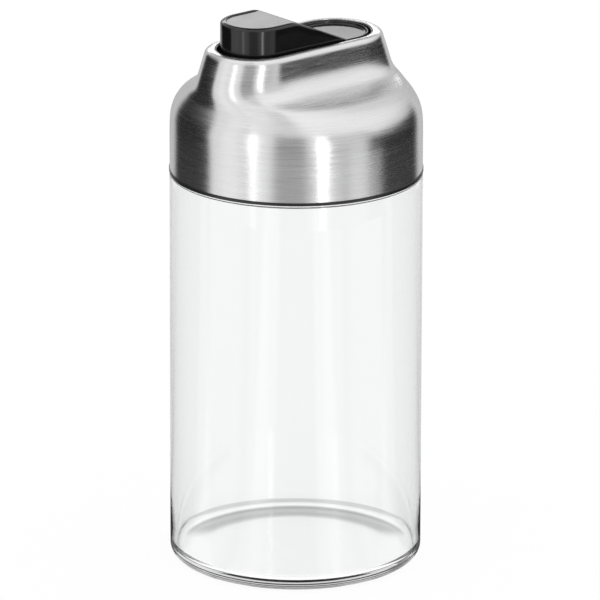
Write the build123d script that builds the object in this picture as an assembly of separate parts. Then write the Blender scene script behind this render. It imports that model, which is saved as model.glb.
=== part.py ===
from build123d import *
import math
import os

os.makedirs("parts", exist_ok=True)

# ---------------------------------------------------------------- frame
# Millimetres, +Z up. The origin is the centre of the jar's flat base.
# X runs along the long axis of the stadium-shaped opening in the lid:
# the spout and the raised wedge are at -X, the thumb dish at +X.

# ---------------------------------------------------------------- driving dimensions
# jar
JAR_R = 37.5            # outside radius of the glass body
JAR_WALL = 1.6          # body wall
JAR_FLOOR = 3.1         # floor thickness
JAR_LEDGE_Z = 119.6     # top of the body, where the neck starts
SHOULDER_Z = 118.8      # underside of the thin shoulder
JAR_FOOT_R = 3.6        # rounding between wall and base
NECK_R = 34.7           # outside radius of the neck
NECK_BORE = 33.3        # inside radius of the neck
NECK_TOP = 133.0
LUG_JAR_R = 35.55       # outside radius of the four glass lugs
LUG_JAR_Z0, LUG_JAR_Z1 = 126.0, 127.6
LUG_JAR_SPAN = 50.0     # degrees of arc of each glass lug
# lid collar
BAND_R = 37.65          # thin black band under the steel
BAND_Z0, BAND_Z1 = 119.75, 120.7
COLLAR_R = 36.72
COLLAR_BORE = 35.85
LUG_LID_R = 35.0        # inside radius of the four collar lugs
LUG_LID_Z0, LUG_LID_Z1 = 124.1, 125.7
LUG_LID_SPAN = 28.0
WEB_Z0, WEB_Z1 = 134.6, 136.4   # flat web across the collar
# steel shell
SHELL_T = 0.6
SHELL_TOP = 160.0
RIM_R = 1.9             # rounding of the rim around the opening
HOLE_R = 11.6           # end radius of the opening in the steel
OPEN_H = 15.25          # half the straight length of the opening
OPEN_X = -0.95          # centre of the opening along X
# heights and half widths of the lid's outside, long way (A) and short way (B)
SEC_Z = [120.7, 131.0, 134.0, 137.0, 140.0, 143.0, 146.0, 149.0, 151.5, 154.0, 158.1]
SEC_A = [37.46, 37.46, 37.44, 37.28, 36.62, 35.28, 33.70, 32.95, 32.45, 31.70, 30.20]
SEC_B = [37.41, 37.41, 37.38, 37.18, 36.30, 33.95, 28.60, 18.60, 15.85, 14.85, 14.25]
# spout tray
RING_R_OUT = 11.52      # black ring seen inside the steel rim
RING_R_IN = 11.0
RING_TOP = 159.86
TRAY_R = 12.75          # tray wall outside, end radius
TRAY_BORE_LOW = 11.2    # chamber under the deck, end radius
TRAY_SHOULDER_Z = 158.75
DECK_Z = 156.4          # deck on the spout side
DECK_T = 1.6
DECK_END_X = -6.2       # where the deck drops to the hinge pit
PIT_Z = 150.6           # floor of the hinge pit
PIT_X = 6.0             # from here the floor slopes down for the thumb end
PIT_SLOPE = 5.2 / 21.0
FLANGE_R = 33.2
FLANGE_Z0, FLANGE_Z1 = 137.2, 139.2
# spout aperture
SPOUT_X = -15.4
SPOUT_H = 1.2           # half straight length
SPOUT_R = 6.2
SPOUT_LIP_R = 7.2
SPOUT_LIP_Z = 157.4
# hinge
PIN_X, PIN_Z = 1.0, 156.5
PIN_R = 1.0
PIN_HALF = 12.4
PIN_CLEAR = 0.05
# flap
FLAP_R = 10.3
FLAP_H = 15.05          # half the straight length of the flap
FLAP_X = -0.75          # centre of the flap along X
FLAP_TOP = 168.35
FLAP_BOTTOM = 157.0
FLAP_LIP = 159.86
FLAP_T = 1.4
PLATEAU_X = -8.0        # flat top of the wedge ends here
SLOPE_END_X = 10.54     # the slope meets the rim height here
DISH_Z = 159.05         # floor of the thumb dish
DISH_R = 9.75
DISH_FILLET = 0.6       # rounding between the dish's wall and floor
PANEL_R = 8.5           # end radius of the sunk panel on top of the wedge
PANEL_Z = 168.0
FLAP_EDGE_R = 1.2       # rounding of the wedge's top edge
CHEEK_R = 3.0
CHEEK_Y0 = 8.7
# fasteners
SCREW_POS = [(15.2, 22.9), (-15.2, 22.9), (-15.2, -22.9), (15.2, -22.9)]
SCREW_R = 1.4
SCREW_HEAD_R = 2.6
SCREW_HEAD_T = 1.7
SCREW_TIP_Z = 142.8
BOSS_R = 3.3
BOSS_TOP = 143.6
# spring
SPR_R = 2.0             # mean coil radius
SPR_WIRE = 0.27
SPR_PITCH = 0.66
SPR_TURNS = 5.5

SLOPE = (FLAP_TOP - FLAP_LIP) / (SLOPE_END_X - PLATEAU_X)


# ---------------------------------------------------------------- helpers
def stadium(h, r, z0, z1, x=OPEN_X):
    """Upright prism with a stadium outline: half straight h, end radius r."""
    return Pos(x, 0, z0) * extrude(SlotCenterToCenter(2 * h, 2 * r), amount=z1 - z0)


def disc(r, z0, z1, x=0, y=0):
    return Pos(x, y, z0) * extrude(Circle(r), amount=z1 - z0)


def tube(r0, r1, z0, z1):
    return disc(r1, z0, z1) - disc(r0, z0 - 1, z1 + 1)


def turned(points):
    """Solid of revolution about Z from (radius, height) points."""
    return revolve(Plane.XZ * make_face(Polyline(*points, close=True)), axis=Axis.Z)


def slab_xz(points, half=40):
    """Prism along Y from (x, z) points."""
    return extrude(Plane.XZ * make_face(Polyline(*points, close=True)), amount=half, both=True)


def sector(r0, r1, z0, z1, mid, span):
    """Piece of a ring between two radii, centred on an angle in degrees."""
    n = 10
    a0 = math.radians(mid - span / 2)
    a1 = math.radians(mid + span / 2)
    am = (a0 + a1) / 2
    p = lambda r, a: (r * math.cos(a), r * math.sin(a))
    outline = (ThreePointArc(p(r1, a0), p(r1, am), p(r1, a1)) + Line(p(r1, a1), p(r0, a1))
               + ThreePointArc(p(r0, a1), p(r0, am), p(r0, a0)) + Line(p(r0, a0), p(r1, a0)))
    return Pos(0, 0, z0) * extrude(make_face(outline), amount=z1 - z0)


def monotone(xs, ys, x):
    """Smooth curve through the points that keeps their rise and fall."""
    n = len(xs)
    h = [xs[i + 1] - xs[i] for i in range(n - 1)]
    d = [(ys[i + 1] - ys[i]) / h[i] for i in range(n - 1)]
    m = [0.0] * n
    for i in range(1, n - 1):
        if d[i - 1] * d[i] > 0:
            w1 = 2 * h[i] + h[i - 1]
            w2 = h[i] + 2 * h[i - 1]
            m[i] = (w1 + w2) / (w1 / d[i - 1] + w2 / d[i])
    m[0] = 0.0
    m[-1] = d[-1]
    x = min(max(x, xs[0]), xs[-1])
    i = 0
    while i < n - 2 and x > xs[i + 1]:
        i += 1
    t = (x - xs[i]) / h[i]
    return (ys[i] * (1 + 2 * t) * (1 - t) ** 2 + m[i] * h[i] * t * (1 - t) ** 2
            + ys[i + 1] * t * t * (3 - 2 * t) + m[i + 1] * h[i] * t * t * (t - 1))


def meridian(values, offset):
    """Height and half width of the lid's outside, moved inwards by offset."""
    zs = [SEC_Z[0] + i * 0.2 for i in range(int((SEC_Z[-1] - SEC_Z[0]) / 0.2) + 1)]
    zs = [z for z in zs if z < SEC_Z[-1] - 0.05] + [SEC_Z[-1]]
    raw = [monotone(SEC_Z, values, z) for z in zs]
    pts = []
    for i, z in enumerate(zs):
        j, k = max(i - 1, 0), min(i + 1, len(zs) - 1)
        dz, dv = zs[k] - zs[j], raw[k] - raw[j]
        s = math.hypot(dz, dv)
        pts.append((z + offset * dv / s, raw[i] - offset * dz / s))
    pts.sort()
    return pts


def half_width(table, z):
    if z <= table[0][0]:
        return table[0][1]
    for (z0, v0), (z1, v1) in zip(table, table[1:]):
        if z <= z1:
            return v0 + (v1 - v0) * (z - z0) / max(z1 - z0, 1e-9)
    return table[-1][1]


def lid_form(offset, z_low):
    """Closed solid with the lid's outer form, moved inwards by offset."""
    ta, tb = meridian(SEC_A, offset), meridian(SEC_B, offset)
    h_top = SEC_A[-1] - SEC_B[-1]
    levels = [z_low, 134.0, 136.0, 137.5, 138.7, 139.8, 140.8, 141.7, 142.6, 143.4, 144.2,
              145.0, 145.7, 146.4, 147.0, 147.6, 148.2, 148.7, 149.2, 149.8, 150.5, 151.4,
              152.5, 154.0, 155.8]
    sections = []
    for z in levels:
        b = half_width(tb, z)
        h = max(half_width(ta, z) - b, 0.05)
        sections.append((z, h, b, OPEN_X * min(h / h_top, 1.0)))
    centre = SEC_B[-1] - RIM_R
    for a in (0, 18, 36, 54, 72, 90):
        a = math.radians(a)
        r = RIM_R - offset
        sections.append((SEC_Z[-1] + r * math.sin(a), h_top, centre + r * math.cos(a), OPEN_X))
    faces = [Pos(x, 0, z) * SlotCenterToCenter(2 * h, 2 * r) for z, h, r, x in sections]
    return loft(faces, ruled=True)


def save(name, shape, colour=None):
    shape.label = name
    export_step(shape, f"parts/{name}.step")
    print(name, "volume", round(shape.volume, 1), "solids", len(shape.solids()))


# ---------------------------------------------------------------- glass jar
bore = JAR_R - JAR_WALL
outer = make_face(Polyline((0, 0), (JAR_R, 0), (JAR_R, JAR_LEDGE_Z), (NECK_R, JAR_LEDGE_Z),
                           (NECK_R, NECK_TOP), (0, NECK_TOP), close=True))
outer = fillet(outer.vertices().sort_by_distance((JAR_R, 0))[0], JAR_FOOT_R)
outer = fillet(outer.vertices().sort_by_distance((JAR_R, JAR_LEDGE_Z))[0], 0.35)
outer = fillet(outer.vertices().sort_by_distance((NECK_R, JAR_LEDGE_Z))[0], 0.4)
outer = fillet(outer.vertices().sort_by_distance((NECK_R, NECK_TOP))[0], 0.5)
inner = make_face(Polyline((0, JAR_FLOOR), (bore, JAR_FLOOR), (bore, SHOULDER_Z), (NECK_BORE, SHOULDER_Z),
                           (NECK_BORE, NECK_TOP + 3), (0, NECK_TOP + 3), close=True))
inner = fillet(inner.vertices().sort_by_distance((bore, JAR_FLOOR))[0], 2.4)
inner = fillet(inner.vertices().sort_by_distance((bore, SHOULDER_Z))[0], 0.4)
inner = fillet(inner.vertices().sort_by_distance((NECK_BORE, SHOULDER_Z))[0], 0.4)
glass_jar = revolve(Plane.XZ * outer, axis=Axis.Z) - revolve(Plane.XZ * inner, axis=Axis.Z)
for k in range(4):
    glass_jar += sector(NECK_R - 0.3, LUG_JAR_R, LUG_JAR_Z0, LUG_JAR_Z1, 45 + 90 * k, LUG_JAR_SPAN)
save("glass_jar", glass_jar)

# ---------------------------------------------------------------- flat seal on the glass rim
jar_gasket = turned([(33.1, NECK_TOP), (34.4, NECK_TOP), (34.6, NECK_TOP + 0.3),
                     (34.6, WEB_Z0 - 0.3), (34.4, WEB_Z0), (33.1, WEB_Z0),
                     (32.9, WEB_Z0 - 0.3), (32.9, NECK_TOP + 0.3)])
save("jar_gasket", jar_gasket)

# ---------------------------------------------------------------- collar of the lid
lid_collar = turned([(COLLAR_BORE, BAND_Z0), (BAND_R - 0.15, BAND_Z0), (BAND_R, BAND_Z0 + 0.15),
                     (BAND_R, BAND_Z1 - 0.1), (BAND_R - 0.1, BAND_Z1), (COLLAR_R, BAND_Z1),
                     (COLLAR_R, 134.2), (35.9, WEB_Z1), (0, WEB_Z1), (0, WEB_Z0),
                     (COLLAR_BORE, WEB_Z0)])
for k in range(4):
    lid_collar += sector(LUG_LID_R, COLLAR_BORE + 0.3, LUG_LID_Z0, LUG_LID_Z1, 90 * k, LUG_LID_SPAN)
lid_collar -= stadium(OPEN_H, TRAY_BORE_LOW, WEB_Z0 - 1, WEB_Z1 + 1)
for x, y in SCREW_POS:
    lid_collar -= disc(SCREW_R + 0.3, WEB_Z0 - 1, WEB_Z1 + 1, x, y)
# raised bead that keeps the tray gasket in place
lid_collar += (stadium(OPEN_H, 15.6, WEB_Z1 - 0.2, WEB_Z1 + 0.5)
               - stadium(OPEN_H, 14.8, WEB_Z1 - 1, WEB_Z1 + 1)) & disc(35.5, WEB_Z1 - 1, WEB_Z1 + 1)
save("lid_collar", lid_collar)

# ---------------------------------------------------------------- gasket between collar and tray
tray_gasket = (stadium(OPEN_H, 14.6, WEB_Z1, FLANGE_Z0) - stadium(OPEN_H, 11.6, WEB_Z1 - 1, FLANGE_Z0 + 1))
save("tray_gasket", tray_gasket)

# ---------------------------------------------------------------- drawn steel shell
lid_shell = lid_form(0.0, BAND_Z1) - lid_form(SHELL_T, BAND_Z1 - 2)
lid_shell -= stadium(OPEN_H, HOLE_R, 150, 162)
save("lid_shell", lid_shell)

# ---------------------------------------------------------------- spout tray
tray = stadium(OPEN_H, TRAY_R, FLANGE_Z0, TRAY_SHOULDER_Z)
tray += stadium(OPEN_H, RING_R_OUT, TRAY_SHOULDER_Z - 1, RING_TOP)
flange = disc(FLANGE_R, FLANGE_Z0, FLANGE_Z1)
tray += flange
for x, y in SCREW_POS:
    tray += disc(BOSS_R, WEB_Z1, BOSS_TOP, x, y)
x_far = 40
floor_top = [(-x_far, DECK_Z), (DECK_END_X, DECK_Z), (DECK_END_X, PIT_Z), (PIT_X, PIT_Z),
             (x_far, PIT_Z - (x_far - PIT_X) * PIT_SLOPE)]
floor_low = [(-x_far, DECK_Z - DECK_T), (DECK_END_X - DECK_T, DECK_Z - DECK_T),
             (DECK_END_X - DECK_T, PIT_Z - DECK_T), (PIT_X + 0.2, PIT_Z - DECK_T),
             (x_far, PIT_Z - DECK_T - (x_far - PIT_X) * PIT_SLOPE)]
well = stadium(OPEN_H, RING_R_IN, 135, 165) & slab_xz(floor_top + [(x_far, 170), (-x_far, 170)])
chamber = stadium(OPEN_H, TRAY_BORE_LOW, 130, 165) & slab_xz(floor_low + [(x_far, 120), (-x_far, 120)])
tray -= well
tray -= chamber
tray += stadium(SPOUT_H, SPOUT_LIP_R, DECK_Z - 0.5, SPOUT_LIP_Z, SPOUT_X)
tray -= stadium(SPOUT_H, SPOUT_R, DECK_Z - 3, SPOUT_LIP_Z + 1, SPOUT_X)
# rib in the pit that the spring's fixed leg rests on
rib_z = PIN_Z - SPR_R - SPR_WIRE
tray += Pos(8.5, -1.8, 147.5) * extrude(Rectangle(2.0, 2.4), amount=rib_z - 147.5)
for x, y in SCREW_POS:
    tray -= disc(SCREW_R, WEB_Z1 - 1, SCREW_TIP_Z, x, y)
tray -= Pos(PIN_X, 0, PIN_Z) * Rot(90, 0, 0) * Cylinder(PIN_R, 2 * PIN_HALF)
spout_tray = tray
save("spout_tray", spout_tray)

# ---------------------------------------------------------------- screws
screws = []
for x, y in SCREW_POS:
    head = disc(SCREW_HEAD_R, WEB_Z0 - SCREW_HEAD_T, WEB_Z0, x, y)
    head = fillet(head.edges().group_by(Axis.Z)[0], 0.7)
    recess = Pos(x, y, WEB_Z0 - SCREW_HEAD_T) * extrude(
        Rectangle(2.6, 0.6) + Rectangle(0.6, 2.6), amount=1.0)
    shank = disc(SCREW_R, WEB_Z0 - 0.2, SCREW_TIP_Z - 0.6, x, y)
    tip = Pos(x, y, SCREW_TIP_Z - 0.6) * Cone(SCREW_R, SCREW_R - 0.5, 0.6,
                                             align=(Align.CENTER, Align.CENTER, Align.MIN))
    screws.append((head - recess) + shank + tip)
lid_screws = Compound(children=screws)
save("lid_screws", lid_screws)

# ---------------------------------------------------------------- hinge pin
pin = Rot(90, 0, 0) * Cylinder(PIN_R, 2 * PIN_HALF)
pin = chamfer(pin.edges().filter_by(GeomType.CIRCLE), 0.25)
hinge_pin = Pos(PIN_X, 0, PIN_Z) * pin
save("hinge_pin", hinge_pin)

# ---------------------------------------------------------------- return spring
pts = []
steps = 24
total = int(SPR_TURNS * steps)
y0 = -SPR_PITCH * SPR_TURNS / 2
for i in range(total + 1):
    t = -math.pi / 2 - 2 * math.pi * i / steps
    pts.append((PIN_X + SPR_R * math.cos(t), y0 + SPR_PITCH * i / steps, PIN_Z + SPR_R * math.sin(t)))
leg_a = (PIN_X + 8.3, y0, PIN_Z - SPR_R)
leg_b = (PIN_X + 8.0, -y0, PIN_Z + SPR_R)
mid = lambda p, q, t: tuple(a + (b - a) * t for a, b in zip(p, q))
run_a = [mid(leg_a, pts[0], t) for t in (0, 0.25, 0.5, 0.75, 0.92)]
run_b = [mid(pts[-1], leg_b, t) for t in (0.08, 0.25, 0.5, 0.75, 1)]
path = Spline(*(run_a + pts + run_b), tangents=[(-1, 0, 0), (1, 0, 0)])
section = Plane(origin=leg_a, z_dir=(-1, 0, 0)) * Circle(SPR_WIRE)
return_spring = sweep(section, path=path)
save("return_spring", return_spring)

# ---------------------------------------------------------------- flap: wedge and thumb dish
x_l, x_r = FLAP_X - FLAP_H - FLAP_R - 5, FLAP_X + FLAP_H + FLAP_R + 5
top_line = [(x_l, FLAP_TOP), (PLATEAU_X, FLAP_TOP), (SLOPE_END_X, FLAP_LIP), (x_r, FLAP_LIP)]
flap = stadium(FLAP_H, FLAP_R, FLAP_BOTTOM, FLAP_TOP + 2, FLAP_X)
flap &= slab_xz(top_line + [(x_r, FLAP_BOTTOM - 5), (x_l, FLAP_BOTTOM - 5)])
edges = [e for e in flap.edges()
         if e.center().Z > FLAP_LIP + 0.5 and abs(e.tangent_at(0.5).Z) < 0.6
         and not (abs(e.tangent_at(0.5).Y) > 0.99 and abs(e.center().X - PLATEAU_X) < 0.1)
         and e.center().Z > FLAP_TOP - 6]
for radius in (FLAP_EDGE_R, 1.0, 0.7, 0.4):
    try:
        rounded = fillet(edges, radius)
        if rounded.is_valid:
            flap = rounded
            print("flap edge rounded", radius)
            break
    except Exception as err:
        print("flap edge", radius, "refused")
# sunk panel on top of the wedge, open towards the slope
flap -= stadium(FLAP_H, PANEL_R, PANEL_Z, 175, FLAP_X) & slab_xz([(x_l, 150), (0, 150), (0, 175), (x_l, 175)])
# thumb dish
x_dish = SLOPE_END_X + (FLAP_LIP - DISH_Z) / SLOPE
dish = stadium(FLAP_H, DISH_R, DISH_Z, 175, FLAP_X)
dish = fillet(dish.edges().group_by(Axis.Z)[0], DISH_FILLET)
dish &= slab_xz(
    [(SLOPE_END_X - 30, FLAP_LIP + 30 * SLOPE), (x_dish, DISH_Z), (x_r, DISH_Z), (x_r, 175),
     (SLOPE_END_X - 30, 175)])
dish &= slab_xz([(SLOPE_END_X, 150), (x_r, 150), (x_r, 175), (SLOPE_END_X, 175)])
flap -= dish
# hollow under the wedge
drop = FLAP_T / math.cos(math.atan(SLOPE))
x_roof = SLOPE_END_X + (FLAP_LIP - drop - FLAP_BOTTOM) / SLOPE
x_bend = PLATEAU_X - FLAP_T * math.tan(math.atan(SLOPE) / 2)
hollow = stadium(FLAP_H, FLAP_R - FLAP_T, 150, 175, FLAP_X) & slab_xz(
    [(x_l, 150), (x_roof, 150), (x_roof, FLAP_BOTTOM), (x_bend, PANEL_Z - FLAP_T), (x_l, PANEL_Z - FLAP_T)])
flap -= hollow
# hinge cheeks
for s in (1, -1):
    cheek = Pos(PIN_X, s * (FLAP_R + CHEEK_Y0) / 2, PIN_Z) * Rot(90, 0, 0) * Cylinder(CHEEK_R, FLAP_R - CHEEK_Y0)
    block = Pos(PIN_X, s * (FLAP_R + CHEEK_Y0) / 2, (PIN_Z + 159.0) / 2) * Box(
        2 * CHEEK_R, FLAP_R - CHEEK_Y0, 159.0 - PIN_Z)
    flap += cheek + block
flap -= Pos(PIN_X, 0, PIN_Z) * Rot(90, 0, 0) * Cylinder(PIN_R + PIN_CLEAR, 40)
flap_top = flap
save("flap_top", flap_top)

# ---------------------------------------------------------------- flap base and its seal
cut_x = -4.5
flap_base = stadium(FLAP_H, FLAP_R - FLAP_T - 0.02, 158.6, 159.8, FLAP_X) & slab_xz(
    [(x_l, 150), (cut_x, 150), (cut_x, 175), (x_l, 175)])
ribs = Pos(SPOUT_X, 4.6, 159.8) * Box(12, 1.2, 2.6, align=(Align.CENTER, Align.CENTER, Align.MIN))
ribs += Pos(SPOUT_X, -4.6, 159.8) * Box(12, 1.2, 2.6, align=(Align.CENTER, Align.CENTER, Align.MIN))
flap_base += ribs
flap_base -= disc(1.5, 150, 165, SPOUT_X, 0)
save("flap_base", flap_base)

seal = stadium(SPOUT_H, 7.6, SPOUT_LIP_Z, 158.6, SPOUT_X)
seal += disc(1.5, 158.5, 160.2, SPOUT_X, 0)
seal += disc(2.2, 159.8, 160.8, SPOUT_X, 0)
flap_seal = seal
save("flap_seal", flap_seal)
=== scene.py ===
import bpy
import bmesh
import math
from mathutils import Matrix, Vector


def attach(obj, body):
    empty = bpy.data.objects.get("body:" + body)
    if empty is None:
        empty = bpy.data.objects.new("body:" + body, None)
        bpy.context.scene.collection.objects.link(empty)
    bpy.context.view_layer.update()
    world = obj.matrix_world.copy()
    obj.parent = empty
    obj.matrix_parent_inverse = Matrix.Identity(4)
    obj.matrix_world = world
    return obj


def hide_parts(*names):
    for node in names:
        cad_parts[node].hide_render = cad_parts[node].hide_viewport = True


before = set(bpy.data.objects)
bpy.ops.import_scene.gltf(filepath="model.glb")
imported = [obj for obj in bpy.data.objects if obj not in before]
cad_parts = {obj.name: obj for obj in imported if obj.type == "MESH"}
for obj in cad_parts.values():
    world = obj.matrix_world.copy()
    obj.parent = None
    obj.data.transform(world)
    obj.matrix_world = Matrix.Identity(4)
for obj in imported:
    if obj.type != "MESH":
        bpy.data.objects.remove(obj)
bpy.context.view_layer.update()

MM = 0.001

# ------------------------------------------------------------------ sizes, in mm, as in the CAD model
OPEN_H, OPEN_X = 15.25, -0.95
SEC_Z = [120.7, 131.0, 134.0, 137.0, 140.0, 143.0, 146.0, 149.0, 151.5, 154.0, 158.1]
SEC_A = [37.46, 37.46, 37.44, 37.28, 36.62, 35.28, 33.70, 32.95, 32.45, 31.70, 30.20]
SEC_B = [37.41, 37.41, 37.38, 37.18, 36.30, 33.95, 28.60, 18.60, 15.85, 14.85, 14.25]
RIM_R, SHELL_T, HOLE_R = 1.9, 0.6, 11.6
RING_R_OUT, RING_R_IN, RING_TOP = 11.5, 11.0, 159.86
TRAY_R, TRAY_SHOULDER_Z = 12.75, 158.75
FLAP_R, FLAP_TOP, FLAP_BOTTOM, FLAP_LIP, FLAP_T = 10.3, 168.35, 157.0, 159.86, 1.4
FLAP_X0, FLAP_X1 = -15.8, 14.3
PLATEAU_X, SLOPE_END_X, DISH_Z = -8.0, 10.54, 159.05
PANEL_IN, PANEL_Z = 1.8, 168.0
SLOPE = (FLAP_TOP - FLAP_LIP) / (SLOPE_END_X - PLATEAU_X)
PIN_X, PIN_Z = 1.0, 156.5
SCREW_POS = [(15.2, 22.9), (-15.2, 22.9), (-15.2, -22.9), (15.2, -22.9)]

# ------------------------------------------------------------------ camera: the photograph's view
AZ = math.radians(-40.1)
PITCH, DIST, AIM_Z = 0.3124, 2379.36, 79.02
SIDE, ROLL = 1.21, -0.0024
right = Vector((math.cos(AZ), math.sin(AZ), 0))
away = Vector((-math.sin(AZ), math.cos(AZ), 0))
up = away * math.sin(PITCH) + Vector((0, 0, 1)) * math.cos(PITCH)
eye = right * SIDE - away * (DIST * math.cos(PITCH)) + Vector((0, 0, AIM_Z + DIST * math.sin(PITCH)))
cam_data = bpy.data.cameras.new("camera")
cam = bpy.data.objects.new("camera", cam_data)
bpy.context.scene.collection.objects.link(cam)
cam_data.sensor_width = 36.0
cam_data.lens = 480.0
cam_data.clip_start, cam_data.clip_end = 0.1, 50.0
cr = right * math.cos(ROLL) - up * math.sin(ROLL)
cu = up * math.cos(ROLL) + right * math.sin(ROLL)
cb = cr.cross(cu)
cam.matrix_world = Matrix(
    ((cr.x, cu.x, cb.x, eye.x * MM), (cr.y, cu.y, cb.y, eye.y * MM), (cr.z, cu.z, cb.z, eye.z * MM), (0, 0, 0, 1)))
bpy.context.scene.camera = cam
bpy.context.scene.view_settings.view_transform = "Standard"
bpy.context.scene.cycles.use_denoising = True
bpy.context.scene.cycles.max_bounces = 24
bpy.context.scene.cycles.transmission_bounces = 20
bpy.context.scene.cycles.glossy_bounces = 10


# ------------------------------------------------------------------ node helpers
def material(name):
    m = bpy.data.materials.new(name)
    m.use_nodes = True
    t = m.node_tree
    return m, t, t.nodes["Principled BSDF"]


def add(t, kind, **values):
    n = t.nodes.new(kind)
    for k, v in values.items():
        setattr(n, k, v)
    return n


def math_node(t, op, a, b=None, c=None):
    n = t.nodes.new("ShaderNodeMath")
    n.operation = op
    for i, v in enumerate((a, b, c)):
        if v is None:
            continue
        if isinstance(v, (int, float)):
            n.inputs[i].default_value = v
        else:
            t.links.new(v, n.inputs[i])
    return n.outputs[0]


def map_range(t, value, a0, a1, b0, b1, smooth=False):
    n = t.nodes.new("ShaderNodeMapRange")
    if smooth:
        n.interpolation_type = "SMOOTHSTEP"
    n.inputs[1].default_value, n.inputs[2].default_value = a0, a1
    n.inputs[3].default_value, n.inputs[4].default_value = b0, b1
    t.links.new(value, n.inputs[0])
    return n.outputs[0]


# ------------------------------------------------------------------ world: soft boxes and dark cards as a far surround
world = bpy.data.worlds.new("studio")
bpy.context.scene.world = world
world.use_nodes = True
wt = world.node_tree
wt.nodes.clear()
coord = wt.nodes.new("ShaderNodeTexCoord")


def dot(vec):
    n = wt.nodes.new("ShaderNodeVectorMath")
    n.operation = "DOT_PRODUCT"
    wt.links.new(coord.outputs["Generated"], n.inputs[0])
    n.inputs[1].default_value = vec
    return n.outputs["Value"]


# azimuth is 0 in front of the jar and grows to the right; 180 is behind it
side_of, front_of, high_of = dot(tuple(right)), dot(tuple(-away)), dot((0, 0, 1))
azimuth = math_node(wt, "DEGREES", math_node(wt, "ARCTAN2", side_of, front_of))
around = math_node(wt, "ABSOLUTE", azimuth)
elevation = math_node(wt, "DEGREES", math_node(wt, "ARCSINE", high_of))


def edge(value, a0, a1):
    """Rises softly from 0 at a0 to 1 at a1; falls if a1 is below a0."""
    return map_range(wt, value, min(a0, a1), max(a0, a1), 0 if a1 > a0 else 1, 1 if a1 > a0 else 0, smooth=True)


def panel(below, level, angle, az, el=None):
    """Lays a card or soft box over what is below; az and el give where it fades in and out, in degrees."""
    mask = math_node(wt, "MULTIPLY", edge(angle, az[0], az[1]), edge(angle, az[3], az[2]))
    if el:
        mask = math_node(wt, "MULTIPLY", mask, edge(elevation, el[0], el[1]))
        if len(el) > 2:
            mask = math_node(wt, "MULTIPLY", mask, edge(elevation, el[3], el[2]))
    rest = math_node(wt, "SUBTRACT", 1.0, mask)
    return math_node(wt, "MULTIPLY_ADD", below, rest, math_node(wt, "MULTIPLY", mask, level))


def low(el0, el1):
    """An elevation range from below the floor up to a soft top edge."""
    return (-95, -94, el0, el1)


sky = map_range(wt, elevation, 30, 75, 1.3, 1.45)
sky = panel(sky, 0.95, azimuth, (-40, -18, 2, 14), (35, 62))                  # gap between the two ceiling boxes
sky = panel(sky, 0.45, azimuth, (-158, -132, -106, -84), low(34, 60))         # grey side wall on the left
sky = panel(sky, 0.90, azimuth, (84, 106, 132, 158), low(14, 38))             # lighter side wall on the right
sky = panel(sky, 0.75, around, (132, 158, 181, 182), low(30, 60))             # back wall
sky = panel(sky, 0.02, azimuth, (-147, -136, -88, -82), low(12, 33))          # black flag behind on the left
sky = panel(sky, 0.02, azimuth, (82, 88, 136, 147), low(6, 18))               # lower black flag behind on the right
sky = panel(sky, 1.15, azimuth, (-85, -74, -30, -18), low(40, 62))            # big soft box on the left
sky = panel(sky, 1.35, azimuth, (-76, -66, -58, -50), low(32, 54))            # its brighter middle
sky = panel(sky, 0.95, azimuth, (10, 19, 70, 81), low(26, 44))                # big soft box on the right
sky = panel(sky, 0.02, azimuth, (65, 72, 92, 94), (-21, -16, 8, 20))          # the flag hides its right corner
sky = panel(sky, 0.80, azimuth, (28, 36, 46, 54), low(4, 16))                 # its dimmer foot
sky = panel(sky, 0.46, azimuth, (-25, -15, 5, 16), low(18, 48))               # grey card in front
sky = panel(sky, 1.35, azimuth, (-48, -43, -33, -26), low(30, 52))            # glow round the left strip light
sky = panel(sky, 2.90, azimuth, (-43.5, -41.5, -37.5, -35.5), low(16, 30))    # left strip light
sky = panel(sky, 1.25, azimuth, (10, 20, 27, 34), low(34, 60))                # glow round the right strip light
sky = panel(sky, 5.80, azimuth, (20.5, 22.5, 26, 28), low(12, 30))            # right strip light
sky = panel(sky, 0.15, around, (160, 168, 181, 182), (28, 33, 60, 74))        # dark ceiling edge behind
sky = panel(sky, 0.70, around, (156, 166, 181, 182), low(24, 30))             # lit wall behind
path = wt.nodes.new("ShaderNodeLightPath")
camera_ray = path.outputs["Is Camera Ray"]
seen = math_node(wt, "MULTIPLY_ADD", sky, math_node(wt, "SUBTRACT", 1.0, camera_ray), camera_ray)
bg = wt.nodes.new("ShaderNodeBackground")
wt.links.new(seen, bg.inputs["Strength"])
out = wt.nodes.new("ShaderNodeOutputWorld")
wt.links.new(bg.outputs[0], out.inputs[0])
world.cycles.sampling_method = "MANUAL"
world.cycles.sample_map_resolution = 512

# ------------------------------------------------------------------ materials
# clear glass: faint waviness from the mould and the least haze
glass, gt, gp = material("clear_glass")
gp.inputs["Base Color"].default_value = (0.968, 0.972, 0.971, 1)
gp.inputs["Transmission Weight"].default_value = 1.0
gp.inputs["IOR"].default_value = 1.474
gc = add(gt, "ShaderNodeTexCoord")
gn = add(gt, "ShaderNodeTexNoise")
gn.inputs["Scale"].default_value = 22.0
gn.inputs["Detail"].default_value = 1.0
gt.links.new(gc.outputs["Object"], gn.inputs["Vector"])
gt.links.new(map_range(gt, gn.outputs["Fac"], 0.3, 0.7, 0.0, 0.012), gp.inputs["Roughness"])
gb = add(gt, "ShaderNodeBump")
gb.inputs["Strength"].default_value = 0.01
gb.inputs["Distance"].default_value = 0.001
gt.links.new(gn.outputs["Fac"], gb.inputs["Height"])
gt.links.new(gb.outputs["Normal"], gp.inputs["Normal"])
gs = add(gt, "ShaderNodeSeparateXYZ")
gt.links.new(gc.outputs["Object"], gs.inputs[0])
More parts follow.
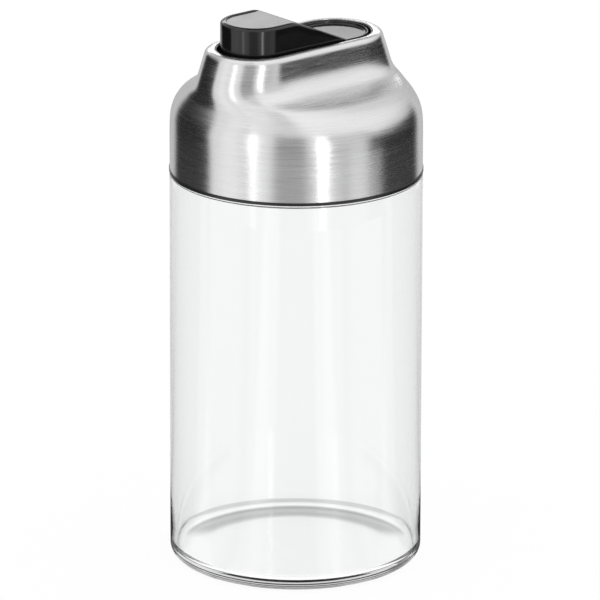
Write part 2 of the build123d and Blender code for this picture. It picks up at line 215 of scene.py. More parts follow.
g_radius = math_node(gt, "SQRT", math_node(gt, "ADD", math_node(gt, "MULTIPLY", gs.outputs["X"], gs.outputs["X"]),
                                           math_node(gt, "MULTIPLY", gs.outputs["Y"], gs.outputs["Y"])))
# painted shade: from 15 to 60 mm up, the outer wall's colour turns grey where it is seen edge-on, a dark rim painted
# along the glass's outline
g_outside = map_range(gt, g_radius, 0.0367, 0.0370, 0, 1)
g_weight = add(gt, "ShaderNodeLayerWeight")
g_outside = math_node(gt, "MULTIPLY", g_outside, map_range(gt, gs.outputs["Z"], 0.015, 0.06, 0, 1, True))
g_painted_rim_shade = math_node(gt, "MULTIPLY", map_range(gt, g_weight.outputs["Facing"], 0.70, 0.86, 0, 1, True), g_outside)
g_rim_shade_ramp = add(gt, "ShaderNodeValToRGB")
g_rim_shade_ramp.color_ramp.elements[0].position, g_rim_shade_ramp.color_ramp.elements[0].color = 0.0, (0.968, 0.972, 0.971, 1)
g_rim_shade_ramp.color_ramp.elements[1].position, g_rim_shade_ramp.color_ramp.elements[1].color = 1.0, (0.50, 0.51, 0.51, 1)
gt.links.new(g_painted_rim_shade, g_rim_shade_ramp.inputs[0])
gt.links.new(g_rim_shade_ramp.outputs[0], gp.inputs["Base Color"])


def brushed(name, roughness, aniso, lines=1.0):
    """Steel brushed around the axis: UV u runs round the piece, v up it in mm."""
    m, t, p = material(name)
    p.inputs["Metallic"].default_value = 1.0
    p.inputs["Anisotropic"].default_value = aniso
    p.inputs["Anisotropic Rotation"].default_value = 0.25
    tangent = add(t, "ShaderNodeTangent", direction_type="UV_MAP", uv_map="UVMap")
    t.links.new(tangent.outputs[0], p.inputs["Tangent"])
    uv = add(t, "ShaderNodeUVMap", uv_map="UVMap")
    sep = add(t, "ShaderNodeSeparateXYZ")
    t.links.new(uv.outputs[0], sep.inputs[0])
    turn = math_node(t, "MULTIPLY", sep.outputs["X"], 2 * math.pi)

    def strokes(round_scale, up_scale, detail):
        comb = add(t, "ShaderNodeCombineXYZ")
        t.links.new(math_node(t, "MULTIPLY", math_node(t, "COSINE", turn), round_scale), comb.inputs[0])
        t.links.new(math_node(t, "MULTIPLY", math_node(t, "SINE", turn), round_scale), comb.inputs[1])
        t.links.new(math_node(t, "MULTIPLY", sep.outputs["Y"], up_scale), comb.inputs[2])
        n = add(t, "ShaderNodeTexNoise")
        n.inputs["Scale"].default_value = 1.0
        n.inputs["Detail"].default_value = detail
        n.inputs["Roughness"].default_value = 0.62
        t.links.new(comb.outputs[0], n.inputs["Vector"])
        return n.outputs["Fac"]

    fine = strokes(3.2, 5.5, 3.0)
    broad = strokes(1.6, 1.1, 2.0)
    both = math_node(t, "ADD", math_node(t, "MULTIPLY", fine, 0.65), math_node(t, "MULTIPLY", broad, 0.35))
    t.links.new(map_range(t, both, 0.3, 0.7, roughness - 0.05, roughness + 0.07), p.inputs["Roughness"])
    tone = add(t, "ShaderNodeValToRGB")
    tone.color_ramp.elements[0].position, tone.color_ramp.elements[0].color = 0.3, (0.66, 0.66, 0.665, 1)
    tone.color_ramp.elements[1].position, tone.color_ramp.elements[1].color = 0.7, (0.79, 0.79, 0.79, 1)
    t.links.new(both, tone.inputs[0])
    t.links.new(tone.outputs[0], p.inputs["Base Color"])
    bump = add(t, "ShaderNodeBump")
    bump.inputs["Strength"].default_value = 0.10 * lines
    bump.inputs["Distance"].default_value = 0.0002
    t.links.new(fine, bump.inputs["Height"])
    t.links.new(bump.outputs["Normal"], p.inputs["Normal"])
    return m


steel = brushed("brushed_steel_round", 0.24, 0.75)


def plastic(name, colour, rough, spread, scale=900.0, bump_strength=0.02, specular=0.5):
    m, t, p = material(name)
    p.inputs["IOR"].default_value = 1.5
    p.inputs["Specular IOR Level"].default_value = specular
    c = add(t, "ShaderNodeTexCoord")
    n = add(t, "ShaderNodeTexNoise")
    n.inputs["Scale"].default_value = scale
    n.inputs["Detail"].default_value = 2.0
    t.links.new(c.outputs["Object"], n.inputs["Vector"])
    wide = add(t, "ShaderNodeTexNoise")
    wide.inputs["Scale"].default_value = 90.0
    wide.inputs["Detail"].default_value = 3.0
    t.links.new(c.outputs["Object"], wide.inputs["Vector"])
    t.links.new(map_range(t, wide.outputs["Fac"], 0.3, 0.7, rough - spread, rough + spread), p.inputs["Roughness"])
    ramp = add(t, "ShaderNodeValToRGB")
    ramp.color_ramp.elements[0].position = 0.35
    ramp.color_ramp.elements[1].position = 0.65
    ramp.color_ramp.elements[0].color = tuple(v * 0.88 for v in colour) + (1,)
    ramp.color_ramp.elements[1].color = tuple(min(v * 1.12, 1) for v in colour) + (1,)
    t.links.new(wide.outputs["Fac"], ramp.inputs[0])
    t.links.new(ramp.outputs[0], p.inputs["Base Color"])
    b = add(t, "ShaderNodeBump")
    b.inputs["Strength"].default_value = bump_strength
    b.inputs["Distance"].default_value = 0.0001
    t.links.new(n.outputs["Fac"], b.inputs["Height"])
    t.links.new(b.outputs["Normal"], p.inputs["Normal"])
    return m


black_gloss = plastic("flap_plastic", (0.007, 0.007, 0.0072), 0.13, 0.02)
black_tray = plastic("tray_plastic", (0.008, 0.008, 0.0082), 0.16, 0.03)
black_satin = plastic("collar_plastic", (0.011, 0.011, 0.0112), 0.33, 0.05, 1500.0, 0.06)
silicone = plastic("silicone", (0.62, 0.63, 0.63), 0.5, 0.06, 1200.0, 0.05)


def bright_steel(name, rough):
    m, t, p = material(name)
    p.inputs["Metallic"].default_value = 1.0
    c = add(t, "ShaderNodeTexCoord")
    n = add(t, "ShaderNodeTexNoise")
    n.inputs["Scale"].default_value = 700.0
    n.inputs["Detail"].default_value = 3.0
    t.links.new(c.outputs["Object"], n.inputs["Vector"])
    t.links.new(map_range(t, n.outputs["Fac"], 0.3, 0.7, rough - 0.05, rough + 0.06), p.inputs["Roughness"])
    ramp = add(t, "ShaderNodeValToRGB")
    ramp.color_ramp.elements[0].color = (0.56, 0.56, 0.57, 1)
    ramp.color_ramp.elements[1].color = (0.72, 0.72, 0.73, 1)
    t.links.new(n.outputs["Fac"], ramp.inputs[0])
    t.links.new(ramp.outputs[0], p.inputs["Base Color"])
    b = add(t, "ShaderNodeBump")
    b.inputs["Strength"].default_value = 0.05
    b.inputs["Distance"].default_value = 0.0001
    t.links.new(n.outputs["Fac"], b.inputs["Height"])
    t.links.new(b.outputs["Normal"], p.inputs["Normal"])
    return m


hardware = bright_steel("hardware_steel", 0.22)


# ------------------------------------------------------------------ mesh helpers
def monotone(xs, ys, x):
    n = len(xs)
    h = [xs[i + 1] - xs[i] for i in range(n - 1)]
    d = [(ys[i + 1] - ys[i]) / h[i] for i in range(n - 1)]
    m = [0.0] * n
    for i in range(1, n - 1):
        if d[i - 1] * d[i] > 0:
            w1 = 2 * h[i] + h[i - 1]
            w2 = h[i] + 2 * h[i - 1]
            m[i] = (w1 + w2) / (w1 / d[i - 1] + w2 / d[i])
    m[-1] = d[-1]
    x = min(max(x, xs[0]), xs[-1])
    i = 0
    while i < n - 2 and x > xs[i + 1]:
        i += 1
    t = (x - xs[i]) / h[i]
    return (ys[i] * (1 + 2 * t) * (1 - t) ** 2 + m[i] * h[i] * t * (1 - t) ** 2
            + ys[i + 1] * t * t * (3 - 2 * t) + m[i + 1] * h[i] * t * t * (t - 1))


def stadium_even(cx, h, r, n):
    """n points round a stadium, evenly spaced, from the +X end, anticlockwise."""
    arc, run = math.pi * r, 2 * h
    total = 2 * arc + 2 * run
    pts = []
    for i in range(n):
        s = i / n * total
        if s < arc / 2:
            a = s / r
            pts.append((cx + h + r * math.cos(a), r * math.sin(a)))
        elif s < arc / 2 + run:
            pts.append((cx + h - (s - arc / 2), r))
        elif s < arc * 1.5 + run:
            a = math.pi / 2 + (s - arc / 2 - run) / r
            pts.append((cx - h + r * math.cos(a), r * math.sin(a)))
        elif s < arc * 1.5 + 2 * run:
            pts.append((cx - h + (s - arc * 1.5 - run), -r))
        else:
            a = -math.pi / 2 + (s - arc * 1.5 - 2 * run) / r
            pts.append((cx + h + r * math.cos(a), r * math.sin(a)))
    return pts


def soft_stadium(cx, h, r, n, soft):
    """A stadium whose ends run softly into its sides: averaged along its length over soft mm, then brought back to size."""
    pts = stadium_even(cx, h, r, n)
    step = (2 * math.pi * r + 4 * h) / n
    taps = [(round(k * soft / 2 / step), math.exp(-0.5 * (k / 2) ** 2)) for k in range(-5, 6)]
    total = sum(w for _, w in taps)
    out = [(sum(pts[(i + o) % n][0] * w for o, w in taps) / total, sum(pts[(i + o) % n][1] * w for o, w in taps) / total)
           for i in range(n)]
    sx = (h + r) / max(abs(x - cx) for x, y in out)
    sy = r / max(abs(y) for x, y in out)
    return [(cx + (x - cx) * sx, y * sy) for x, y in out]


def circle(cx, cy, r, n):
    return [(cx + r * math.cos(2 * math.pi * i / n), cy + r * math.sin(2 * math.pi * i / n)) for i in range(n)]


def new_object(name, verts, faces, mat, smooth_angle=32.0):
    mesh = bpy.data.meshes.new(name)
    mesh.from_pydata([(x * MM, y * MM, z * MM) for x, y, z in verts], [], faces)
    obj = bpy.data.objects.new(name, mesh)
    bpy.context.scene.collection.objects.link(obj)
    mesh.materials.append(mat)
    tidy(obj, smooth_angle)
    return obj


def tidy(obj, smooth_angle=32.0):
    """Merges doubles, points the faces outwards and smooths all but the sharp edges."""
    bm = bmesh.new()
    bm.from_mesh(obj.data)
    bmesh.ops.remove_doubles(bm, verts=bm.verts, dist=2e-6)
    bmesh.ops.dissolve_degenerate(bm, edges=bm.edges, dist=1e-6)
    bmesh.ops.recalc_face_normals(bm, faces=bm.faces)
    limit = math.radians(smooth_angle)
    for f in bm.faces:
        f.smooth = True
    for e in bm.edges:
        e.smooth = len(e.link_faces) == 2 and e.calc_face_angle(0) < limit
    bm.to_mesh(obj.data)
    bm.free()
    obj.data.update()


def rings_mesh(rings, cap_start=False, cap_end=False):
    """Vertices and faces of closed rings joined one to the next; every ring has the same number of points."""
    n = len(rings[0])
    verts = [p for ring in rings for p in ring]
    faces = []
    for j in range(len(rings) - 1):
        for i in range(n):
            k = (i + 1) % n
            faces.append((j * n + i, j * n + k, (j + 1) * n + k, (j + 1) * n + i))
    if cap_start:
        faces.append(tuple(reversed(range(n))))
    if cap_end:
        faces.append(tuple(range((len(rings) - 1) * n, len(rings) * n)))
    return verts, faces


def at(outline, z):
    return [(x, y, z) for x, y in outline]


def prism(name, outline_of, steps, mat):
    """Closed solid from (inset, z) steps; outline_of(inset) gives the outline."""
    rings = [at(outline_of(d), z) for d, z in steps]
    v, f = rings_mesh(rings, True, True)
    return new_object(name, v, f, mat)


def lathe(name, profile, mat, n=256, smooth_angle=32.0):
    """Closed solid of revolution from a closed (radius, z) profile that stays off the axis, or touches it at its ends."""
    rings = [[(r * math.cos(2 * math.pi * i / n), r * math.sin(2 * math.pi * i / n), z) for i in range(n)]
             for r, z in profile]
    v, f = rings_mesh(rings)
    closed = abs(profile[0][0]) > 1e-6
    if closed:
        m = len(rings)
        f += [((m - 1) * n + i, (m - 1) * n + (i + 1) % n, (i + 1) % n, i) for i in range(n)]
    return new_object(name, v, f, mat, smooth_angle)


def arc(cx, cz, r, a0, a1, n):
    """Profile points on an arc, angles in degrees from +radius towards +z."""
    return [(cx + r * math.cos(math.radians(a0 + (a1 - a0) * i / n)), cz + r * math.sin(math.radians(a0 + (a1 - a0) * i / n)))
            for i in range(n + 1)]


def boolean(obj, tool, operation):
    mod = obj.modifiers.new("cut", "BOOLEAN")
    mod.operation = operation
    mod.object = tool
    mod.solver = "EXACT"
    deps = bpy.context.evaluated_depsgraph_get()
    mesh = bpy.data.meshes.new_from_object(obj.evaluated_get(deps))
    obj.modifiers.remove(mod)
    old = obj.data
    obj.data = mesh
    bpy.data.meshes.remove(old)
    bpy.data.objects.remove(tool)
    return obj


def join(target, others):
    """Adds the others' closed shells to target's mesh."""
    bm = bmesh.new()
    bm.from_mesh(target.data)
    for o in others:
        bm.from_mesh(o.data)
    bm.to_mesh(target.data)
    bm.free()
    for o in others:
        bpy.data.objects.remove(o)
    return target


# ------------------------------------------------------------------ glass jar
def glass_profile():
    p = [(0.0, 0.0), (20.0, 0.0), (31.0, 0.0)]
    p += arc(37.5 - 3.6, 3.6, 3.6, -90, 0, 14)
    p += [(37.5, 10.0), (37.5, 40.0), (37.5, 80.0), (37.5, 112.0)]
    p += [(37.5, 117.5)]
    p += arc(37.5 - 0.35, 119.6 - 0.35, 0.35, 0, 90, 5)
    p += list(reversed(arc(34.7 + 0.4, 119.6 + 0.4, 0.4, 180, 270, 5)))
    p += [(34.7, 124.0), (34.7, 129.0)]
    p += arc(34.7 - 0.5, 133.0 - 0.5, 0.5, 0, 90, 5)
    p += arc(33.3 + 0.4, 133.0 - 0.4, 0.4, 90, 180, 4)
    p += [(33.3, 126.0)]
    p += list(reversed(arc(33.3 + 0.4, 118.8 + 0.4, 0.4, -90, -180, 5)))
    p += arc(35.9 - 0.4, 118.8 - 0.4, 0.4, 90, 0, 5)
    p += [(35.9, 117.5), (35.9, 100.0), (35.9, 60.0), (35.9, 20.0)]
    p += list(reversed(arc(35.9 - 2.4, 3.1 + 2.4, 2.4, -90, 0, 12)))
    p += [(28.0, 3.1), (15.0, 3.1), (0.0, 3.1)]
    return p


jar = lathe("jar_glass", glass_profile(), glass, 320, 50)


def arc_lug(r0, r1, z0, z1, mid, span, soft, n=36):
    """A raised lug on a ring, with softened ends, as a closed shell."""
    rings = []
    for i in range(n + 1):
        t = i / n
        a = math.radians(mid - span / 2 + span * t)
        e = min(t, 1 - t) * n / 3.0
        grow = min(1.0, e) if e < 1 else 1.0
        grow = math.sin(grow * math.pi / 2)
        outr = r0 + (r1 - r0) * max(grow, 0.05)
        if r1 < r0:
            prof = [(r0 + 0.4, z0), (outr + soft, z0), (outr, z0 + soft), (outr, z1 - soft), (outr + soft, z1), (r0 + 0.4, z1)]
        else:
            prof = [(r0 - 0.3, z0), (outr - soft, z0), (outr, z0 + soft), (outr, z1 - soft), (outr - soft, z1), (r0 - 0.3, z1)]
        rings.append([(r * math.cos(a), r * math.sin(a), z) for r, z in prof])
    v, f = rings_mesh(rings, True, True)
    return v, f


lugs = []
for k in range(4):
    v, f = arc_lug(34.7, 35.55, 126.0, 127.6, 45 + 90 * k, 50.0, 0.3)
    lugs.append(new_object("lug", v, f, glass))
for lug in lugs:
    boolean(jar, lug, "UNION")
tidy(jar, 50)
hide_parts("glass_jar")
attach(jar, "jar")

# ------------------------------------------------------------------ jar seal
seal_ring = lathe("jar_seal", [(33.2, 133.02), (34.3, 133.02)] + arc(34.3, 133.3, 0.28, -90, 0, 4)
                  + arc(34.3, 134.3, 0.28, 0, 90, 4) + arc(33.2, 134.3, 0.28, 90, 180, 4)
                  + arc(33.2, 133.3, 0.28, 180, 270, 4), silicone, 192)
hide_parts("jar_gasket")
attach(seal_ring, "seal")

# ------------------------------------------------------------------ collar of the lid
collar = lathe("collar", [(35.85, 119.9), (36.0, 119.75), (37.5, 119.75), (37.6, 119.79), (37.65, 119.89),
                          (37.65, 120.56), (37.6, 120.64), (37.5, 120.66), (36.72, 120.66), (36.72, 134.2),
                          (35.9, 136.4), (8.0, 136.4), (8.0, 134.6), (35.2, 134.6), (35.65, 134.5), (35.85, 134.2)],
               black_satin, 320, 30)
n_st = 192
cut = prism("cut", lambda d: stadium_even(OPEN_X, OPEN_H, 11.2 - d, n_st), [(0, 130), (0, 140)], black_satin)
boolean(collar, cut, "DIFFERENCE")
for x, y in SCREW_POS:
    hole = prism("cut", lambda d: circle(x, y, 1.7, 32), [(0, 130), (0, 140)], black_satin)
    boolean(collar, hole, "DIFFERENCE")
tabs = []
for k in range(4):
    v, f = arc_lug(35.85, 35.0, 124.1, 125.7, 90 * k, 28.0, 0.25)
    tabs.append(new_object("tab", v, f, black_satin))
bead_out = prism("bead", lambda d: stadium_even(OPEN_X, OPEN_H, 15.6 - d, n_st), [(0, 136.3), (0, 136.75), (0.15, 136.9)], black_satin)
bead_in = prism("cut", lambda d: stadium_even(OPEN_X, OPEN_H, 14.8 - d, n_st), [(0, 136.0), (0, 137.5)], black_satin)
boolean(bead_out, bead_in, "DIFFERENCE")
for o in tabs + [bead_out]:
    boolean(collar, o, "UNION")
tidy(collar, 30)
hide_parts("lid_collar")
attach(collar, "lid")


# ------------------------------------------------------------------ steel shell
def shell_sections():
    """(z, A, B) up the lid's outside, evenly spaced along the surface and smoothed, with the rim's rounding."""
    raw = []
    z = SEC_Z[0]
    while z < SEC_Z[-1]:
        raw.append((z, monotone(SEC_Z, SEC_A, z), monotone(SEC_Z, SEC_B, z)))
        z += 0.05
    a_top, b_top = SEC_A[-1], SEC_B[-1]
    for i in range(0, 61):
        a = math.pi / 2 * i / 60
        raw.append((SEC_Z[-1] + RIM_R * math.sin(a), a_top - RIM_R * (1 - math.cos(a)), b_top - RIM_R * (1 - math.cos(a))))
    length = [0.0]
    for p, q in zip(raw, raw[1:]):
        length.append(length[-1] + math.hypot(q[0] - p[0], 0.5 * (q[1] - p[1]) + 0.5 * (q[2] - p[2])))
    step = 0.2
    count = int(length[-1] / step)
    even = []
    j = 0
    for i in range(count + 1):
        s = length[-1] * i / count
        while j < len(raw) - 2 and length[j + 1] < s:
            j += 1
        t = (s - length[j]) / max(length[j + 1] - length[j], 1e-9)
        even.append(tuple(raw[j][k] + (raw[j + 1][k] - raw[j][k]) * t for k in range(3)))
    width = 5
    kernel = [math.exp(-0.5 * (k / 2.6) ** 2) for k in range(-width, width + 1)]
    total = sum(kernel)
    smooth = []
    for i in range(len(even)):
        vals = []
        for k in range(3):
            acc = 0.0
            for o, w in zip(range(-width, width + 1), kernel):
                j = i + o
                if j < 0:
                    v = 2 * even[0][k] - even[min(-j, len(even) - 1)][k]
                elif j >= len(even):
                    v = 2 * even[-1][k] - even[2 * len(even) - 2 - j][k]
                else:
                    v = even[j][k]
                acc += w * v
            vals.append(acc / total)
        smooth.append(tuple(vals))
    return smooth


SHELL_N = 512
sections = shell_sections()
h_top = SEC_A[-1] - SEC_B[-1]
outer = []
for z, a, b in sections:
    h = max(a - b, 0.0)
    t = min(max((157.8 - z) / 9.0, 0.0), 1.0)
    outer.append(at(soft_stadium(OPEN_X * min(h / h_top, 1.0), h, b, SHELL_N, 0.8 + 3.4 * t * t * (3 - 2 * t)), z))


def grid_normals(rings):
    out = []
    m, n = len(rings), len(rings[0])
    for j in range(m):
        row = []
        for i in range(n):
            du = Vector(rings[j][(i + 1) % n]) - Vector(rings[j][i - 1])
            dv = Vector(rings[min(j + 1, m - 1)][i]) - Vector(rings[max(j - 1, 0)][i])
            row.append(du.cross(dv).normalized())
        out.append(row)
    return out


normals = grid_normals(outer)
inner = [[tuple(Vector(p) - nrm * SHELL_T) for p, nrm in zip(ring, nr)] for ring, nr in zip(outer, normals)]
# keep the turned-in edge upright
flange_top = [at(stadium_even(OPEN_X, OPEN_H + 0.35, 12.0, SHELL_N), 160.0)]
for d, z in ((0.12, 160.0), (0.04, 159.97), (0.0, 159.89), (0.0, 159.42)):
    flange_top.append(at(stadium_even(OPEN_X, OPEN_H, HOLE_R + d, SHELL_N), z))
flange_low = [at(stadium_even(OPEN_X, OPEN_H + 0.35, 12.0, SHELL_N), 159.4)]
loop_rings = outer + flange_top + flange_low + list(reversed(inner))
v, f = rings_mesh(loop_rings)
m = len(loop_rings)
f += [((m - 1) * SHELL_N + i, (m - 1) * SHELL_N + (i + 1) % SHELL_N, (i + 1) % SHELL_N, i) for i in range(SHELL_N)]
mesh = bpy.data.meshes.new("shell")
mesh.from_pydata([(x * MM, y * MM, z * MM) for x, y, z in v], [], f)
shell = bpy.data.objects.new("shell", mesh)
bpy.context.scene.collection.objects.link(shell)
mesh.materials.append(steel)
height = [0.0]
for p, q in zip(sections, sections[1:]):
    height.append(height[-1] + math.hypot(q[0] - p[0], 0.5 * (q[1] - p[1] + q[2] - p[2])))
turned = [height[-1] + v for v in (0.4, 0.8, 0.9, 1.0, 1.5, 2.0)]
vals = height + turned + list(reversed(height))
uv_layer = mesh.uv_layers.new(name="UVMap")
for poly in mesh.polygons:
    cols = [mesh.loops[li].vertex_index % SHELL_N for li in poly.loop_indices]
    wrap = max(cols) - min(cols) > SHELL_N // 2
    for li, c in zip(poly.loop_indices, cols):
        row = mesh.loops[li].vertex_index // SHELL_N
        u = (c + SHELL_N if wrap and c < SHELL_N // 2 else c) / SHELL_N
        uv_layer.data[li].uv = (u, vals[row])
    poly.use_smooth = True
bm = bmesh.new()
bm.from_mesh(mesh)
bmesh.ops.recalc_face_normals(bm, faces=bm.faces)
for e in bm.edges:
    e.smooth = e.calc_face_angle(0) < math.radians(30)
bm.to_mesh(mesh)
bm.free()
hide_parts("lid_shell")
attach(shell, "lid")

# ------------------------------------------------------------------ spout tray
def slab(name, pts_xz, mat, half=40.0):
    rings = [[(x, -half, z) for x, z in pts_xz], [(x, half, z) for x, z in pts_xz]]
    v, f = rings_mesh(rings, True, True)
    return new_object(name, v, f, mat)


tray = prism("tray", lambda d: stadium_even(OPEN_X, OPEN_H, TRAY_R - d, n_st), [(0, 138.0), (0, 158.5), (0.2, TRAY_SHOULDER_Z)], black_tray)
flange = prism("flange", lambda d: circle(0, 0, 33.2 - d, 160), [(0.2, 137.2), (0, 137.4), (0, 139.0), (0.2, 139.2)], black_tray)
boolean(tray, flange, "UNION")
for x, y in SCREW_POS:
    boss = prism("boss", lambda d: circle(x, y, 3.3 - d, 40), [(0, 136.42), (0, 143.4), (0.2, 143.6)], black_tray)
    boolean(tray, boss, "UNION")
ring = prism("ring", lambda d: stadium_even(OPEN_X, OPEN_H, RING_R_OUT - d, n_st),
             [(0, 157.0), (0, RING_TOP - 0.12), (0.03, RING_TOP - 0.05), (0.12, RING_TOP)], black_tray)
boolean(tray, ring, "UNION")
floor_top = [(-40, 156.4), (-6.2, 156.4), (-6.2, 150.6), (6.0, 150.6), (40, 150.6 - 34 * 5.2 / 21)]
floor_low = [(-40, 154.8), (-7.8, 154.8), (-7.8, 149.0), (6.2, 149.0), (40, 149.0 - 34 * 5.2 / 21)]
well = prism("well", lambda d: stadium_even(OPEN_X, OPEN_H, RING_R_IN - d, n_st),
             [(0, 130.0), (0, RING_TOP - 0.34), (-0.03, RING_TOP - 0.21), (-0.1, RING_TOP - 0.1), (-0.21, RING_TOP - 0.03),
              (-0.34, RING_TOP + 0.001), (-0.34, 165.0)], black_tray)
boolean(well, slab("cut", floor_top + [(40, 170), (-40, 170)], black_tray), "INTERSECT")
boolean(tray, well, "DIFFERENCE")
chamber = prism("chamber", lambda d: stadium_even(OPEN_X, OPEN_H, 11.2 - d, n_st), [(0, 130.0), (0, 165.0)], black_tray)
boolean(chamber, slab("cut", floor_low + [(40, 120), (-40, 120)], black_tray), "INTERSECT")
boolean(tray, chamber, "DIFFERENCE")
lip = prism("lip", lambda d: stadium_even(-15.4, 1.2, 7.2 - d, 96), [(0, 155.9), (0, 157.15), (0.1, 157.35), (0.25, 157.4)], black_tray)
boolean(tray, lip, "UNION")
hole = prism("hole", lambda d: stadium_even(-15.4, 1.2, 6.2 - d, 96), [(0, 150.0), (0, 157.1), (-0.1, 157.32), (-0.3, 157.45), (-0.3, 158.5)], black_tray)
boolean(tray, hole, "DIFFERENCE")
rib = prism("rib", lambda d: [(9.5 - d, -3.0 + d), (9.5 - d, -0.6 - d), (7.5 + d, -0.6 - d), (7.5 + d, -3.0 + d)],
            [(0, 148.2), (0, 154.1), (0.12, 154.22)], black_tray)
boolean(tray, rib, "UNION")
for x, y in SCREW_POS:
    pilot = prism("pilot", lambda d: circle(x, y, 1.42, 24), [(0, 130.0), (0, 142.9)], black_tray)
    boolean(tray, pilot, "DIFFERENCE")
pin_hole = prism("pin_hole", lambda d: circle(0, 0, 1.02, 32), [(0, -12.42), (0, 12.42)], black_tray)
for vert in pin_hole.data.vertices:
    x, y, z = vert.co
    vert.co = (PIN_X * MM + x, z, PIN_Z * MM + y)
boolean(tray, pin_hole, "DIFFERENCE")
tidy(tray, 28)
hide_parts("spout_tray")
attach(tray, "lid")

# ------------------------------------------------------------------ flap: one skin of columns and rings
EDGE_R, EDGE_DROP = 1.8, 0.9     # width and height of the crowned edge of the wedge
CREASE = 0.7
COL_X = [14.3 - i * 0.42 for i in range(1, 73)]
for extra in (PLATEAU_X, SLOPE_END_X):
    for o in (-0.9, -0.6, -0.3, -0.15, 0, 0.15, 0.3, 0.6, 0.9):
        COL_X.append(extra + o)
COL_X += [-7.4, -7.23, -7.05]
COL_X = sorted(set(round(x, 3) for x in COL_X if FLAP_X0 + 0.05 < x < FLAP_X1 - 0.05), reverse=True)
ARC_N = 72


def flap_outline(r):
    """(x, y) points round the flap at end radius r; the straight sides share their x with every other ring."""
    xr, xl = FLAP_X1, FLAP_X0
    pts = [(xr + r * math.cos(math.radians(-90 + 180 * i / ARC_N)), r * math.sin(math.radians(-90 + 180 * i / ARC_N)))
           for i in range(ARC_N + 1)]
    pts += [(x, r) for x in COL_X]
    pts += [(xl + r * math.cos(math.radians(90 + 180 * i / ARC_N)), r * math.sin(math.radians(90 + 180 * i / ARC_N)))
            for i in range(ARC_N + 1)]
    pts += [(x, -r) for x in reversed(COL_X)]
    return pts


def wedge_line(x):
    """Height of the wedge's top over x, with a soft crease where plateau and slope meet."""
    a = FLAP_TOP
    b = FLAP_LIP + (SLOPE_END_X - x) * SLOPE
    k = CREASE
    d = max(k - abs(a - b), 0.0) / k
    return min(a, b) - d * d * k * 0.25


def edge_radius(x):
    t = min(max((x - (PLATEAU_X + 0.5)) / 8.5, 0.0), 1.0)
    t = t * t * (3 - 2 * t)
    return EDGE_R + (0.4 - EDGE_R) * t


LIP_OUT, LIP_IN, FILLET = 0.35, 0.2, 0.6


def lip_line(d):
    """Height of the thumb dish over the distance in from the flap's outline: rounded lip, then a shallow dish."""
    if d < LIP_OUT:
        return FLAP_LIP - LIP_OUT + math.sqrt(max(LIP_OUT ** 2 - (LIP_OUT - d) ** 2, 0.0))
    if d < LIP_OUT + LIP_IN:
        return FLAP_LIP - LIP_IN + math.sqrt(max(LIP_IN ** 2 - (d - LIP_OUT) ** 2, 0.0))
    e = d - LIP_OUT - LIP_IN
    if e < FILLET:
        return DISH_Z + FILLET - math.sqrt(max(FILLET ** 2 - (FILLET - e) ** 2, 0.0))
    return DISH_Z


def top_height(x, d):
    re = edge_radius(x)
    e = max(re - d, 0.0)
    drop = min(EDGE_DROP, re)
    wedge = wedge_line(x) - drop * (1 - math.sqrt(max(1 - (e / re) ** 2, 0.0)))
    if x < SLOPE_END_X - 4:
        t = min(max((d - PANEL_IN + 0.14) / 0.28, 0.0), 1.0)
        return min(wedge, FLAP_TOP - (FLAP_TOP - PANEL_Z) * t * t * (3 - 2 * t))
    return max(wedge, lip_line(d))


insets = [0.0, 0.02, 0.06, 0.12, 0.2, 0.28, 0.35, 0.42, 0.47, 0.51, 0.535, 0.55, 0.565, 0.6, 0.66, 0.74, 0.84, 0.96, 1.08,
          1.15, 1.25, 1.4, 1.54, 1.62, 1.66, 1.71, 1.77, 1.83, 1.89, 1.94, 1.98, 2.1, 2.4, 3.0, 3.8, 4.8, 6.0, 7.2, 8.4, 9.4,
          10.05, 10.3]
rings = []
base_ring = flap_outline(FLAP_R)
rings.append(at(flap_outline(FLAP_R - 0.25), FLAP_BOTTOM))
rings.append(at(flap_outline(FLAP_R - 0.07), FLAP_BOTTOM + 0.07))
rings.append(at(base_ring, FLAP_BOTTOM + 0.25))
for lift in (0.2, 0.4, 0.6, 0.8):
    rings.append([(x, y, FLAP_BOTTOM + 0.25 + (top_height(x, 0.0) - FLAP_BOTTOM - 0.25) * lift) for x, y in base_ring])
for d in insets:
    r = max(FLAP_R - d, 0.0)
    rings.append([(x, y, top_height(x, d)) for x, y in flap_outline(r)])
# underside: rim, inner wall, roof
drop = FLAP_T / math.cos(math.atan(SLOPE))


def roof(x):
    return max(FLAP_BOTTOM, min(PANEL_Z - FLAP_T, FLAP_LIP - drop + (SLOPE_END_X - x) * SLOPE))


under = []
under.append(at(flap_outline(FLAP_R - 0.25), FLAP_BOTTOM))
under.append(at(flap_outline(FLAP_R - FLAP_T), FLAP_BOTTOM))
for lift in (0.33, 0.66, 1.0):
    under.append([(x, y, FLAP_BOTTOM + (roof(x) - FLAP_BOTTOM) * lift) for x, y in flap_outline(FLAP_R - FLAP_T)])
for r in (7.0, 5.0, 3.0, 1.0, 0.0):
    under.append([(x, y, roof(x)) for x, y in flap_outline(r)])
v1, f1 = rings_mesh(rings)
v2, f2 = rings_mesh(under)
f = f1 + [tuple(reversed([i + len(v1) for i in face])) for face in f2]
flap = new_object("flap_skin", v1 + v2, f, black_gloss, 24)


def cheek(y0, y1):
    n = 64
    def out(i):
        a = 2 * math.pi * i / n
        c, s = math.cos(a), math.sin(a)
        r = 3.0 if s <= 0 else min(3.0 / max(abs(c), 1e-6), 2.5 / max(s, 1e-6))
        return (PIN_X + r * c, PIN_Z + r * s)
    def inn(i):
        a = 2 * math.pi * i / n
        return (PIN_X + 1.05 * math.cos(a), PIN_Z + 1.05 * math.sin(a))
    loops = [[(p[0], y, p[1]) for p in map(fn, range(n))] for fn, y in ((out, y0), (out, y1), (inn, y1), (inn, y0), (out, y0))]
    v, f = rings_mesh(loops)
    return new_object("cheek", v, f, black_gloss, 30)


join(flap, [cheek(8.7, 10.25), cheek(-10.25, -8.7)])
tidy(flap, 24)
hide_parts("flap_top")
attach(flap, "flap")

